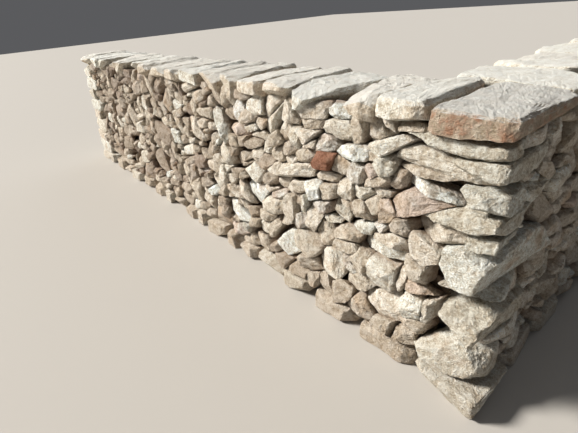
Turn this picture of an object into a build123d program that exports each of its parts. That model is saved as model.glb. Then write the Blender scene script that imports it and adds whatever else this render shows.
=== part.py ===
from build123d import *

import math
import os
import random

# A dry stone wall in two wings that meet at a square outer corner, in millimetres.
# The origin is the foot of the outer corner on the ground. The long wing runs along -X,
# the return wing along +Y, and both outer faces lean back as they rise.

# Overall sizes
wall_height = 1300.0
long_wing_length = 5400.0
return_wing_length = 2400.0
crest_thickness = 510.0
outer_batter = 90.0
inner_batter = 40.0
skin_depth = 180.0
stint_length = 1350.0

# Footing course: two rows of broad stones under each wing
footing_height = 110.0
footing_projection = 22.0
footing_inner_projection = 18.0
footing_row_depth = 320.0
footing_stone_length = 290.0
footing_taper = 4.0
corner_footing_length = 300.0
corner_footing_projection = 60.0

# Corner quoins from the bottom up: share of the height between footing and coping,
# leg along the long wing, leg along the return wing, and how far the stone stands proud
quoin_courses = [
    (180.0, 345.0, 300.0, 6.0),
    (180.0, 240.0, 515.0, 2.0),
    (105.0, 330.0, 350.0, 10.0),
    (190.0, 265.0, 600.0, 4.0),
    (75.0, 215.0, 225.0, -4.0),
    (80.0, 385.0, 290.0, 5.0),
    (100.0, 225.0, 240.0, 9.0),
    (110.0, 315.0, 420.0, 3.0),
    (65.0, 520.0, 235.0, -3.0),
]
quoin_tail_trim = 55.0
quoin_tail_skew = 24.0
quoin_spall_run = 95.0
quoin_spall_drop = 0.45
arris_radius = 22.0
edge_wear = 11.0
face_tolerance = 1.0
joint_gap = 6.0

# Face rubble: uneven stones in rough courses, split so that each narrows outwards
rubble_course_height = 180.0
rubble_stone_length = 260.0
rubble_joint_depth = 50.0
rubble_stone_taper = 24.0
rubble_wander = 0.27
rubble_set_back = 20.0
rubble_skew = 0.10
rubble_seeds = {("long", "outer"): 21, ("long", "inner"): 22,
                ("return", "outer"): 23, ("return", "inner"): 24}

# End heads: courses of paired stones, long and short by turns
head_course_shares = [150.0, 120.0, 165.0, 110.0, 140.0, 120.0, 150.0, 125.0]
head_long_leg = 410.0
head_short_leg = 265.0
head_lean = 25.0
head_edge_chamfer = 9.0

# Coping slabs laid across the top
cope_thickness = 98.0
cope_thickness_spread = 16.0
cope_width = 275.0
cope_width_spread = 0.28
cope_joint = 12.0
cope_overhang = 22.0
cope_taper = 5.0
cope_worn_edge = 10.0
capstone_thickness = 98.0
capstone_front_length = 320.0
capstone_overhang = 38.0
capstone_worn_edge = 14.0

# Irregularity of split stones, seen in plan
corner_trim_low = 22.0
corner_trim_high = 60.0
side_wander = 16.0
worn_slope = 45.0
outline_seed = 11

cope_bed = wall_height - cope_thickness
base_thickness = crest_thickness + outer_batter + inner_batter
reach = 2.0 * base_thickness
outlines = random.Random(outline_seed)


def outer_face(z):
    """Set-back of an outer face from its foot line at height z."""
    return outer_batter * z / wall_height


def inner_face(z):
    """Distance of an inner face from the outer foot line at height z."""
    return base_thickness - inner_batter * z / wall_height


def skin_back(z):
    """Back of an outer skin, where the hearting begins."""
    return outer_face(z) + skin_depth


def hearting_back(z):
    """Back of the hearting, where the inner skin begins."""
    return inner_face(z) - skin_depth


def along_x(near, far, x0, x1, z0, z1):
    """Battered prism along the long wing: near and far give y at a height."""
    section = [(near(z0), z0), (far(z0), z0), (far(z1), z1), (near(z1), z1)]
    outline = Polyline(*[(x0, y, z) for y, z in section], close=True)
    return extrude(make_face(outline.edges()), amount=x1 - x0, dir=(1, 0, 0))


def along_y(near, far, y0, y1, z0, z1):
    """Battered prism along the return wing: near and far give -x at a height."""
    section = [(-near(z0), z0), (-far(z0), z0), (-far(z1), z1), (-near(z1), z1)]
    outline = Polyline(*[(x, y0, z) for x, z in section], close=True)
    return extrude(make_face(outline.edges()), amount=y1 - y0, dir=(0, 1, 0))


def block(x0, x1, y0, y1, z0, z1):
    """Plain block between two opposite corners."""
    size = Box(x1 - x0, y1 - y0, z1 - z0)
    return Pos((x0 + x1) / 2, (y0 + y1) / 2, (z0 + z1) / 2) * size


def level_lines(shares, bottom, top):
    """Heights of the bed joints when the shares fill bottom to top."""
    lines = [bottom]
    for share in shares:
        lines.append(lines[-1] + share * (top - bottom) / sum(shares))
    return lines


def run_of_lengths(total, nominal, spread, joint):
    """Start and end of each stone in a row of uneven stones that fills a length."""
    count = max(1, round(total / nominal))
    weights = [1.0 + outlines.uniform(-spread, spread) for _ in range(count)]
    unit = (total - joint * (count - 1)) / sum(weights)
    spans = []
    start = 0.0
    for weight in weights:
        spans.append((start, start + weight * unit))
        start += weight * unit + joint
    return spans


def split_stone(x0, x1, y0, y1, z0, z1, taper, worn_edge):
    """Flat-bedded stone: skewed plan, corners knocked off, tapered sides, worn upper edge."""
    wander = [outlines.uniform(0.0, side_wander) for _ in range(8)]
    corners = [
        Vector(x0 + wander[0], y0 + wander[1]),
        Vector(x1 - wander[2], y0 + wander[3]),
        Vector(x1 - wander[4], y1 - wander[5]),
        Vector(x0 + wander[6], y1 - wander[7]),
    ]
    points = []
    for index, corner in enumerate(corners):
        before = corners[index - 1] - corner
        after = corners[(index + 1) % 4] - corner
        points.append(corner + before.normalized() * trim_size())
        points.append(corner + after.normalized() * trim_size())
    plan = Plane.XY.offset(z0) * make_face(Polyline(*points, close=True).edges())
    stone = extrude(plan, amount=z1 - z0 - worn_edge, taper=taper)
    shoulder = stone.faces().sort_by(Axis.Z)[-1]
    return stone + extrude(shoulder, amount=worn_edge, taper=worn_slope)


def trim_size():
    """How much a split corner has lost."""
    return outlines.uniform(corner_trim_low, corner_trim_high)


quoin_lines = level_lines([course[0] for course in quoin_courses], footing_height, cope_bed)
head_lines = level_lines(head_course_shares, footing_height, cope_bed)


def quoin_ends(index):
    """How far a quoin's legs reach from the foot lines, along each wing."""
    middle = (quoin_lines[index] + quoin_lines[index + 1]) / 2
    front_leg, return_leg = quoin_courses[index][1:3]
    return outer_face(middle) + front_leg, outer_face(middle) + return_leg


def quoin(index):
    """Corner stone with flat beds, two battered faces and a rough tail."""
    z0, z1 = quoin_lines[index], quoin_lines[index + 1]
    proud = quoin_courses[index][3]
    front, back = quoin_ends(index)
    skew = quoin_tail_skew if index % 2 else quoin_tail_skew / 2
    plan = [
        (reach, -reach),
        (-front, -reach),
        (-front, back / 2),
        (-front + skew, back - quoin_tail_trim),
        (-front + skew + quoin_tail_trim, back - skew / 2),
        (-front / 2, back),
        (reach, back),
    ]
    outline = Polyline(*[(x, y, z0) for x, y in plan], close=True)
    stone = extrude(make_face(outline.edges()), amount=z1 - z0)

    def face_line(z):
        return outer_face(z) - proud

    def far_side(z):
        return reach

    stone = stone & along_x(face_line, far_side, -reach, reach, z0, z1)
    stone = stone & along_y(face_line, far_side, -reach, reach, z0, z1)
    arris = stone.edges().filter_by(Axis.Z, tolerance=12).sort_by(
        lambda edge: edge.center().X - edge.center().Y)[-1]
    stone = fillet(arris, arris_radius)
    outer = stone.edges().filter_by(lambda edge: on_outer_rim(edge, face_line))
    stone = chamfer(outer, edge_wear)
    return spall(stone, index, z0, z1, face_line) if index % 2 == 0 else stone


def on_outer_rim(edge, face_line):
    """True for the level edges that bound a stone's two outer faces."""
    middle = edge.center()
    level = abs(edge.start_point().Z - edge.end_point().Z) < 0.01
    near_long_face = abs(middle.Y - face_line(middle.Z)) < face_tolerance
    near_return_face = abs(middle.X + face_line(middle.Z)) < face_tolerance
    return level and (near_long_face or near_return_face)


def spall(stone, index, z0, z1, face_line):
    """Shard lost from the lower or upper end of the stone's arris."""
    low = index % 4 == 0
    level = z0 if low else z1
    drop = quoin_spall_drop * (z1 - z0)
    on_arris = Vector(-face_line(level), face_line(level), level + (drop if low else -drop))
    along_front = Vector(-face_line(level) - quoin_spall_run, face_line(level), level)
    along_return = Vector(-face_line(level), face_line(level) + quoin_spall_run / 2, level)
    normal = (along_front - on_arris).cross(along_return - on_arris).normalized()
    if normal.X < 0:
        normal = normal * -1
    return split(stone, bisect_by=Plane(origin=on_arris, z_dir=normal), keep=Keep.BOTTOM)


def quoin_pockets():
    """Room for the quoins in the masonry behind them, joints included."""
    pockets = []
    for index in range(len(quoin_courses)):
        front, back = quoin_ends(index)
        z0, z1 = quoin_lines[index], quoin_lines[index + 1]
        pockets.append(block(-front - joint_gap, reach, -reach, back + joint_gap, z0, z1))
    return pockets


def head_leg(index):
    """Leg of the stones in a head's course, long and short by turns."""
    return head_short_leg if index % 2 else head_long_leg


def head_stones(length, prism, parity):
    """Every second course of one end head, two stones to a course."""
    stones = []
    for index, (z0, z1) in enumerate(zip(head_lines, head_lines[1:])):
        if index % 2 == parity:
            stones += [prism(length, head_leg(index), side, z0, z1) for side in (0, 1)]
    return stones


def middle_line(z):
    """Middle of a wing's thickness."""
    return (outer_face(z) + inner_face(z)) / 2


def head_sides(side):
    """Near and far faces of the outer (0) or inner (1) stone of a head's pair."""
    def near(z):
        return outer_face(z) if side == 0 else middle_line(z) + joint_gap / 2

    def far(z):
        return middle_line(z) - joint_gap / 2 if side == 0 else inner_face(z)

    return near, far


def head_face(length):
    """The end face of a head leans in by head_lean over the wall's height."""
    return lambda z: length - head_lean * z / wall_height


def long_head_stone(length, leg, side, z0, z1):
    """One stone of the long wing's far head."""
    near, far = head_sides(side)
    end = head_face(length)
    stone = along_x(near, far, -length, -length + leg, z0, z1)
    stone = stone & along_y(lambda z: 0.0, end, -reach, reach, z0, z1)
    return chamfer(head_rim(stone, Axis.X, 0), head_edge_chamfer)


def return_head_stone(length, leg, side, z0, z1):
    """One stone of the return wing's far head."""
    near, far = head_sides(side)
    end = head_face(length)
    stone = along_y(near, far, length - leg, length, z0, z1)
    stone = stone & along_x(lambda z: 0.0, end, -reach, reach, z0, z1)
    return chamfer(head_rim(stone, Axis.Y, -1), head_edge_chamfer)


def head_rim(stone, axis, place):
    """The edges round a head stone's end face."""
    return stone.faces().sort_by(axis)[place].edges()


def head_pockets(length, wing):
    """Room for a head's stones in the masonry behind them, joints included."""
    pockets = []
    for index, (z0, z1) in enumerate(zip(head_lines, head_lines[1:])):
        start = length - head_leg(index) - joint_gap
        if wing == "long":
            pockets.append(block(-length - reach, -start, -reach, reach, z0, z1))
        else:
            pockets.append(block(-reach, reach, start, length + reach, z0, z1))
    return pockets


def stint_count(length):
    """How many stints of work a wing is built in."""
    return max(1, round(length / stint_length))


def stints(start, length):
    """Boundaries of a wing's stints, from the corner outwards."""
    count = stint_count(length)
    step = (length - start) / count
    return [(start + step * k, start + step * (k + 1)) for k in range(count)]


def rubble_stones(length, seed):
    """Stones of one face: corners as (distance, height), set-back and skew of the front.

    A stone's own joints rise from each bed line and those of the next course drop from it,
    which keeps every outline convex.
    """
    chance = random.Random(seed)
    rise = cope_bed - footing_height
    courses = max(1, round(rise / rubble_course_height))
    height = rise / courses
    step = rubble_stone_length / 2
    columns = math.ceil(length / step) + 3
    corners = {}
    for course in range(courses + 1):
        for column in range(columns):
            slide = chance.uniform(-rubble_wander, rubble_wander) * step
            lift = chance.uniform(0.0, rubble_wander) * height
            if course in (0, courses):
                lift = 0.0
            elif column % 2 != course % 2:
                lift = -lift
            level = footing_height + course * height + lift
            corners[course, column] = ((column - 1) * step + slide, level)
    stones = []
    for course in range(courses):
        lower = (0, 1, 2) if course > 0 else (0, 2)
        upper = (2, 1, 0) if course < courses - 1 else (2, 0)
        for column in range(course % 2, columns - 2, 2):
            outline = [corners[course, column + k] for k in lower]
            outline += [corners[course + 1, column + k] for k in upper]
            set_back = chance.uniform(rubble_set_back / 2, rubble_set_back)
            skew = [chance.uniform(-rubble_skew, rubble_skew) for _ in range(2)]
            stones.append((outline, set_back, skew))
    return stones


def rubble_stone(stone, sense, slant):
    """One stone on a flat face: it narrows outwards from its root, and its front is askew."""
    outline, set_back, skew = stone
    corners = [(sense * distance, slant * z) for distance, z in outline]
    if sense < 0:
        corners.reverse()
    depth = rubble_joint_depth / slant
    root = Plane.XY.offset(-depth) * make_face(Polyline(*corners, close=True).edges())
    block = extrude(root, amount=depth + face_tolerance, taper=rubble_stone_taper)
    front = Plane(origin=root.center() + Vector(0, 0, depth - set_back), z_dir=(*skew, 1.0))
    return split(block, bisect_by=front, keep=Keep.BOTTOM)


def face_plane(wing, side):
    """Plane of a face with X level, Y up the slope and Z outwards."""
    outer = side == "outer"
    foot, lean = (0.0, outer_batter) if outer else (base_thickness, inner_batter)
    sense = 1.0 if outer else -1.0
    if wing == "long":
        return Plane(origin=(0, foot, 0), x_dir=(sense, 0, 0),
                     z_dir=(0, -sense * wall_height, lean))
    return Plane(origin=(-foot, 0, 0), x_dir=(0, sense, 0), z_dir=(sense * wall_height, 0, lean))


def joint_layer(wing, side, start, end):
    """Depth of a face that the open joints reach, between two distances from the corner."""
    prism = along_x if wing == "long" else along_y
    if side == "inner":
        start = max(start, inner_face(footing_height))
    if wing == "long":
        start, end = -end, -start
    if side == "outer":
        return prism(lambda z: outer_face(z) - face_tolerance,
                     lambda z: outer_face(z) + rubble_joint_depth,
                     start, end, footing_height, cope_bed)
    return prism(lambda z: inner_face(z) - rubble_joint_depth,
                 lambda z: inner_face(z) + face_tolerance,
                 start, end, footing_height, cope_bed)


def lay_face(wing, side, pieces, spans, length):
    """The stints of one face with the joints between their stones opened."""
    plane = face_plane(wing, side)
    sense = -1.0 if (wing == "long") == (side == "outer") else 1.0
    slant = 1.0 / plane.y_dir.Z
    stones = rubble_stones(length, rubble_seeds[wing, side])
    laid = []
    for piece, (start, end) in zip(pieces, spans):
        shown = []
        for stone in stones:
            distances = [distance for distance, _ in stone[0]]
            if min(distances) < end and max(distances) > start:
                shown.append(plane * rubble_stone(stone, sense, slant))
        laid.append(piece - (joint_layer(wing, side, start, end) - shown))
    return laid


def long_masonry(near, far, spans):
    """Long wing's masonry between two battered lines, one piece for each span."""
    corner_side = skin_back if near is not hearting_back else hearting_back
    limit = along_y(corner_side, lambda z: long_wing_length, -reach, reach,
                    footing_height, cope_bed)
    cutters = quoin_pockets() + head_pockets(long_wing_length, "long")
    pieces = []
    for start, end in spans:
        piece = along_x(near, far, -end, -start, footing_height, cope_bed) & limit
        pieces.append(cut_all(piece, cutters))
    return pieces


def return_masonry(near, far, first, spans):
    """Return wing's masonry between two battered lines, starting at the line first."""
    limit = along_x(first, lambda z: return_wing_length, -reach, reach,
                    footing_height, cope_bed)
    cutters = quoin_pockets() + head_pockets(return_wing_length, "return")
    pieces = []
    for start, end in spans:
        piece = along_y(near, far, start, end, footing_height, cope_bed) & limit
        pieces.append(cut_all(piece, cutters))
    return pieces


def cut_all(piece, cutters):
    """The piece less each cutter that reaches it."""
    for cutter in cutters:
        piece = piece - cutter
    return piece


def footing_row(spans, box_of):
    """A row of split footing stones; box_of turns a span into plan limits."""
    stones = []
    for start, end in spans:
        x0, x1, y0, y1 = box_of(start, end)
        stones.append(split_stone(x0, x1, y0, y1, 0.0, footing_height,
                                  footing_taper, edge_wear))
    return stones


def footing_rows():
    """The four rows of footing stones, by name."""
    inner_edge = base_thickness + footing_inner_projection
    split_line = footing_row_depth + joint_gap
    end_long = long_wing_length + footing_projection
    end_return = return_wing_length + footing_projection

    def spans(start, end):
        row = run_of_lengths(end - start, footing_stone_length, cope_width_spread, joint_gap)
        return [(start + a, start + b) for a, b in row]

    return {
        "footing_long_outer": footing_row(
            spans(corner_footing_length + joint_gap, end_long),
            lambda a, b: (-b, -a, -footing_projection, footing_row_depth)),
        "footing_long_inner": footing_row(
            spans(split_line, end_long),
            lambda a, b: (-b, -a, split_line, inner_edge)),
        "footing_return_outer": footing_row(
            spans(split_line, end_return),
            lambda a, b: (-footing_row_depth, footing_projection, a, b)),
        "footing_return_inner": footing_row(
            spans(inner_edge + joint_gap, end_return),
            lambda a, b: (-inner_edge, -split_line, a, b)),
    }


def cope_slabs(length, corner_length, box_of):
    """Coping slabs from the capstone to the far head."""
    total = length - head_lean + cope_overhang - corner_length - cope_joint
    slabs = []
    for start, end in run_of_lengths(total, cope_width, cope_width_spread, cope_joint):
        begin = corner_length + cope_joint + start
        x0, x1, y0, y1 = box_of(begin, begin + end - start)
        top = cope_bed + cope_thickness - outlines.uniform(0.0, cope_thickness_spread)
        slabs.append(split_stone(x0, x1, y0, y1, cope_bed, top, cope_taper, cope_worn_edge))
    return slabs


def shares_of(slabs, length):
    """The slabs in order, in as many groups as the wing has stints."""
    count = stint_count(length)
    bounds = [round(len(slabs) * k / count) for k in range(count + 1)]
    return [slabs[a:b] for a, b in zip(bounds, bounds[1:])]


def cope_edges():
    """Outer and inner edge of the coping, measured from the outer foot line."""
    return outer_face(cope_bed) - cope_overhang, inner_face(cope_bed) + cope_overhang


def capstone():
    """Broad slab that closes the corner, from the outer edges to the coping's inner edge."""
    edge = outer_face(cope_bed) - capstone_overhang
    front_end = outer_face(cope_bed) + capstone_front_length
    return split_stone(-front_end, -edge, edge, cope_edges()[1], cope_bed,
                       cope_bed + capstone_thickness, cope_taper, capstone_worn_edge)


def write(name, shapes):
    """One STEP file for each node."""
    shapes = shapes if isinstance(shapes, list) else [shapes]
    solids = [solid for shape in shapes for solid in shape.solids()]
    export_step(Compound(children=solids, label=name), f"parts/{name}.step")


def main():
    os.makedirs("parts", exist_ok=True)

    corner_foot = split_stone(-corner_footing_length, corner_footing_projection,
                              -corner_footing_projection, footing_row_depth,
                              0.0, footing_height, footing_taper, edge_wear)
    write("corner_footing_stone", corner_foot)
    for name, stones in footing_rows().items():
        write(name, stones)

    for index in range(len(quoin_courses)):
        write(f"corner_quoin_{index + 1:02d}", quoin(index))

    long_spans = stints(0.0, long_wing_length)
    outer = long_masonry(outer_face, skin_back, long_spans)
    outer = lay_face("long", "outer", outer, long_spans, long_wing_length)
    for number, piece in enumerate(outer, 1):
        write(f"long_outer_face_{number}", piece)
    inner = long_masonry(hearting_back, inner_face, long_spans)
    inner = lay_face("long", "inner", inner, long_spans, long_wing_length)
    for number, piece in enumerate(inner, 1):
        write(f"long_inner_face_{number}", piece)
    hearting = long_masonry(skin_back, hearting_back, [(0.0, long_wing_length)])
    write("long_hearting", hearting)

    return_spans = stints(0.0, return_wing_length)
    outer = return_masonry(outer_face, skin_back, outer_face, return_spans)
    outer = lay_face("return", "outer", outer, return_spans, return_wing_length)
    for number, piece in enumerate(outer, 1):
        write(f"return_outer_face_{number}", piece)
    inner_spans = stints(inner_face(cope_bed), return_wing_length)
    inner = return_masonry(hearting_back, inner_face, inner_face, inner_spans)
    inner = lay_face("return", "inner", inner, inner_spans, return_wing_length)
    for number, piece in enumerate(inner, 1):
        write(f"return_inner_face_{number}", piece)
    hearting = return_masonry(skin_back, hearting_back, hearting_back,
                              [(0.0, return_wing_length)])
    write("return_hearting", hearting)

    for wing, length, maker in (("long", long_wing_length, long_head_stone),
                                ("return", return_wing_length, return_head_stone)):
        write(f"{wing}_head_long_stones", head_stones(length, maker, 0))
        write(f"{wing}_head_short_stones", head_stones(length, maker, 1))

    write("corner_capstone", capstone())
    front_edge, back_edge = cope_edges()
    front_length = outer_face(cope_bed) + capstone_front_length
    slabs = cope_slabs(long_wing_length, front_length,
                       lambda a, b: (-b, -a, front_edge, back_edge))
    for number, share in enumerate(shares_of(slabs, long_wing_length), 1):
        write(f"long_coping_{number}", share)
    slabs = cope_slabs(return_wing_length, back_edge,
                       lambda a, b: (-back_edge, -front_edge, a, b))
    for number, share in enumerate(shares_of(slabs, return_wing_length), 1):
        write(f"return_coping_{number}", share)


main()
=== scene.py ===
import itertools
import math

import bpy
import numpy as np
from mathutils import Matrix, Vector


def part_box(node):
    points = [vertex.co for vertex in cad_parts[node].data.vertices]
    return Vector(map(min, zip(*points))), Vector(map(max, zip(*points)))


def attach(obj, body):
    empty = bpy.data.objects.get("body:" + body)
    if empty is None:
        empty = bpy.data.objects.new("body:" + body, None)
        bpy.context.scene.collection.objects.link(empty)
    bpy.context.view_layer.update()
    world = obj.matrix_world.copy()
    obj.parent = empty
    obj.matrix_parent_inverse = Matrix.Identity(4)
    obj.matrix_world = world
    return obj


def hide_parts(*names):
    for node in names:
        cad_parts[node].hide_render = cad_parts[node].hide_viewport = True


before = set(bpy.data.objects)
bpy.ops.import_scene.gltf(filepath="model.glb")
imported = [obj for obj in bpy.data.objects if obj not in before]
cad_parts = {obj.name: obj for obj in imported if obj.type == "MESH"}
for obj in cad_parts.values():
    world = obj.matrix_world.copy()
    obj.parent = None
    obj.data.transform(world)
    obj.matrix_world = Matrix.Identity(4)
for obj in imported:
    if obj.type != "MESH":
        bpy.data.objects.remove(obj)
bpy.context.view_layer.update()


# The viewpoint: in front of the outer corner at eye height, looking down along the long wing.
# The camera leans a few degrees, as one held by hand does.
photo_width = 578
focal_in_photo_widths = 385.0 / photo_width
camera_place = Vector((0.403, -1.225, 1.673))
camera_yaw = math.radians(142.68)
camera_pitch = math.radians(28.78)
camera_roll = math.radians(-5.27)
sensor_width = 36.0

look = Vector((math.cos(camera_pitch) * math.cos(camera_yaw),
               math.cos(camera_pitch) * math.sin(camera_yaw),
               -math.sin(camera_pitch)))
level_right = Vector((math.sin(camera_yaw), -math.cos(camera_yaw), 0.0))
level_up = level_right.cross(look)
right = math.cos(camera_roll) * level_right + math.sin(camera_roll) * level_up
upward = math.cos(camera_roll) * level_up - math.sin(camera_roll) * level_right
lens = bpy.data.cameras.new("viewpoint")
lens.sensor_width = sensor_width
lens.lens = focal_in_photo_widths * sensor_width
camera = bpy.data.objects.new("viewpoint", lens)
camera.matrix_world = Matrix((right, upward, -look)).transposed().to_4x4()
camera.matrix_world.translation = camera_place
bpy.context.scene.collection.objects.link(camera)
bpy.context.scene.camera = camera


# The light: a soft key from the left front, so that the long face is lit and the return face
# lies in shade, a weak fill for the inner faces, and a pale sky all round.
suns = [
    ("key", Vector((0.70, 0.55, -0.58)), 6.9, math.radians(13.0), (1.0, 0.955, 0.89)),
    ("fill", Vector((0.30, -0.80, -0.50)), 0.7, math.radians(60.0), (0.94, 0.97, 1.0)),
]
sky_colour = (0.94, 0.95, 1.0, 1.0)
sky_strength = 0.11

for name, direction, strength, softness, colour in suns:
    sun = bpy.data.lights.new(name, "SUN")
    sun.energy = strength
    sun.angle = softness
    sun.color = colour
    sun_object = bpy.data.objects.new(name, sun)
    sun_object.rotation_euler = direction.to_track_quat("-Z", "Y").to_euler()
    bpy.context.scene.collection.objects.link(sun_object)
bpy.context.scene.view_settings.view_transform = "Standard"
sky = bpy.data.worlds.new("sky")
sky.use_nodes = True
sky.node_tree.nodes["Background"].inputs["Color"].default_value = sky_colour
sky.node_tree.nodes["Background"].inputs["Strength"].default_value = sky_strength
bpy.context.scene.world = sky


# The floor: a plain pale surface that the wall stands on. It is only there for the picture and
# is no part of the wall.
floor_half = 40.0
floor_colour = (0.46, 0.44, 0.41, 1.0)

floor_mesh = bpy.data.meshes.new("floor")
floor_corners = [(-floor_half, -floor_half, 0), (floor_half, -floor_half, 0),
                 (floor_half, floor_half, 0), (-floor_half, floor_half, 0)]
floor_mesh.from_pydata(floor_corners, [], [(0, 1, 2, 3)])
floor = bpy.data.objects.new("floor", floor_mesh)
floor_finish = bpy.data.materials.new("floor_finish")
floor_finish.use_nodes = True
floor_shader = floor_finish.node_tree.nodes["Principled BSDF"]
floor_shader.inputs["Base Color"].default_value = floor_colour
floor_shader.inputs["Roughness"].default_value = 0.9
floor_mesh.materials.append(floor_finish)
bpy.context.scene.collection.objects.link(floor)


# Footing stones: broad flat limestone blocks laid first, in an outer and an inner row under
# each wing, with one that projects at the corner. Split, not dressed, and earthy at the foot.
footing_nodes = ["corner_footing_stone", "footing_long_outer", "footing_long_inner",
                 "footing_return_outer", "footing_return_inner"]
footing_tones = (0.42, 0.74)
corner_footing_tones = (0.70, 0.72)
footing_seed = 3
footing_roughness = {"lump": (0.09, 0.010), "grain": (0.022, 0.005)}
# Chips off a stone's corners: how many, and the least and most of a corner's reach that is kept.
footing_chips = (7, 0.80, 0.97)

# Every stone is a block cut by planes. In a stone's own measure its box reaches from -1 to 1,
# and nothing of it is kept past block_reach. Of a CAD solid's sides the largest are followed.
block_reach = 1.35
block_limits = np.vstack((np.eye(3), -np.eye(3))) / block_reach
solid_sides = 18
corner_merge = 0.04
merge_rounds = 4
parallel_limit = 1e-4
touch_limit = 1e-7
least_cut_reach = 0.2
edge_sharpness = (0.46, 0.86)
crease_angle = math.radians(21.0)

# A stone's tone: buff about a middle, seldom pale brown or ochre, and very seldom red.
buff_share = 0.91
buff_tone = (0.50, 0.16)
buff_range = (0.05, 0.79)
buff_or_brown_share = 0.99
brown_range = (0.84, 0.95)
red_tone = 1.0
palette = [
    (0.00, (0.355, 0.280, 0.220)),
    (0.20, (0.490, 0.410, 0.325)),
    (0.40, (0.625, 0.540, 0.430)),
    (0.55, (0.710, 0.625, 0.510)),
    (0.70, (0.770, 0.720, 0.610)),
    (0.80, (0.790, 0.785, 0.710)),
    (0.86, (0.630, 0.510, 0.420)),
    (0.93, (0.600, 0.470, 0.330)),
    (1.00, (0.330, 0.160, 0.100)),
]
stain_colour = (0.52, 0.34, 0.19, 1.0)
rust_colour = (0.40, 0.19, 0.10, 1.0)
earth_colour = (0.27, 0.175, 0.115, 1.0)
joint_colour = (0.36, 0.24, 0.16, 1.0)
dust_colour = (0.86, 0.87, 0.835, 1.0)
# How fine the stone's patterns are, as noise scales, and how strong each of them shows.
patch_scale, grain_scale, speck_scale = 8.0, 30.0, 120.0
rust_scale, crack_scale, pit_scale, break_scale = 14.0, 55.0, 13.0, 34.0
stain_strength = 0.60
pit_darkness = 0.6
earth_strength = 0.5
earth_heights = (0.02, 0.30)
joint_strength = 0.70
stone_specular = 0.2


class Wire:
    """One output in a node tree; sums written on it add Math nodes."""

    def __init__(self, tree, socket):
        self.tree = tree
        self.socket = socket

    def math(self, operation, *others):
        values = dict(enumerate((self,) + others))
        return place(self.tree, "ShaderNodeMath", {"operation": operation}, values)

    def __add__(self, other):
        return self.math("ADD", other)

    def __sub__(self, other):
        return self.math("SUBTRACT", other)

    def __rsub__(self, other):
        return place(self.tree, "ShaderNodeMath", {"operation": "SUBTRACT"}, {0: other, 1: self})

    def __mul__(self, other):
        return self.math("MULTIPLY", other)

    def __pow__(self, other):
        return self.math("POWER", other)

    def ramp(self, start, end):
        """0 below start, 1 above end, straight in between."""
        values = {0: self, 1: start, 2: end, 3: 0.0, 4: 1.0}
        return place(self.tree, "ShaderNodeMapRange", {"clamp": True}, values)


def place(tree, kind, settings, values, output=0):
    """Adds a node, sets it up and joins its inputs; gives back one output, by place or name."""
    node = tree.nodes.new(kind)
    for name, value in settings.items():
        if name == "stops":
            set_stops(node.color_ramp, value)
        else:
            setattr(node, name, value)
    for key, value in values.items():
        if isinstance(value, Wire):
            tree.links.new(value.socket, node.inputs[key])
        else:
            node.inputs[key].default_value = value
    return Wire(tree, node.outputs[output])


def set_stops(colour_ramp, stops):
    """Fills a colour ramp with (place, colour) stops."""
    while len(colour_ramp.elements) < len(stops):
        colour_ramp.elements.new(0.5)
    for element, (at, colour) in zip(colour_ramp.elements, stops):
        element.position = at
        element.color = (*colour, 1.0)


def stone_weathering_tree():
    """Geometry Nodes: rounds the broken edges of split blocks, roughens and finishes them."""
    tree = bpy.data.node_groups.new("stone_weathering", "GeometryNodeTree")
    sockets = [("Blocks", "NodeSocketGeometry"), ("Rounding Steps", "NodeSocketInt"),
               ("Lump Size", "NodeSocketFloat"), ("Lump Height", "NodeSocketFloat"),
               ("Grain Size", "NodeSocketFloat"), ("Grain Height", "NodeSocketFloat"),
               ("Crease Angle", "NodeSocketFloat"), ("Finish", "NodeSocketMaterial")]
    for name, kind in sockets:
        tree.interface.new_socket(name=name, in_out="INPUT", socket_type=kind)
    tree.interface.new_socket(name="Stones", in_out="OUTPUT", socket_type="NodeSocketGeometry")
    given = tree.nodes.new("NodeGroupInput")
    inputs = {name: Wire(tree, given.outputs[name]) for name, _ in sockets}

    def stored(name):
        return place(tree, "GeometryNodeInputNamedAttribute", {"data_type": "FLOAT"}, {0: name})

    rounded = place(tree, "GeometryNodeSubdivisionSurface", {},
                    {"Mesh": inputs["Blocks"], "Level": inputs["Rounding Steps"],
                     "Edge Crease": stored("sharpness")})
    position = place(tree, "GeometryNodeInputPosition", {}, {})
    normal = place(tree, "GeometryNodeInputNormal", {}, {})
    seed = stored("stone_seed")
    height = 0.0
    for size, rise in (("Lump Size", "Lump Height"), ("Grain Size", "Grain Height")):
        scale = place(tree, "ShaderNodeMath", {"operation": "DIVIDE"}, {0: 1.0, 1: inputs[size]})
        noise = place(tree, "ShaderNodeTexNoise", {"noise_dimensions": "4D"},
                      {"Vector": position, "W": seed, "Scale": scale, "Detail": 3.0,
                       "Roughness": 0.6})
        height = (noise - 0.5) * 2.0 * inputs[rise] + height
    bump = place(tree, "ShaderNodeVectorMath", {"operation": "SCALE"},
                 {0: normal, "Scale": height})
    rough = place(tree, "GeometryNodeSetPosition", {}, {"Geometry": rounded, "Offset": bump})
    bend = place(tree, "GeometryNodeInputMeshEdgeAngle", {}, {})
    gentle = place(tree, "FunctionNodeCompare", {"data_type": "FLOAT", "operation": "LESS_THAN"},
                   {0: bend, 1: inputs["Crease Angle"]})
    shaded = place(tree, "GeometryNodeSetShadeSmooth", {"domain": "EDGE"},
                   {"Geometry": rough, "Shade Smooth": gentle})
    realized = place(tree, "GeometryNodeRealizeInstances", {}, {0: shaded})
    finished = place(tree, "GeometryNodeSetMaterial", {},
                     {"Geometry": realized, "Material": inputs["Finish"]})
    result = tree.nodes.new("NodeGroupOutput")
    tree.links.new(finished.socket, result.inputs["Stones"])
    return tree


stone_weathering = stone_weathering_tree()


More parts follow.
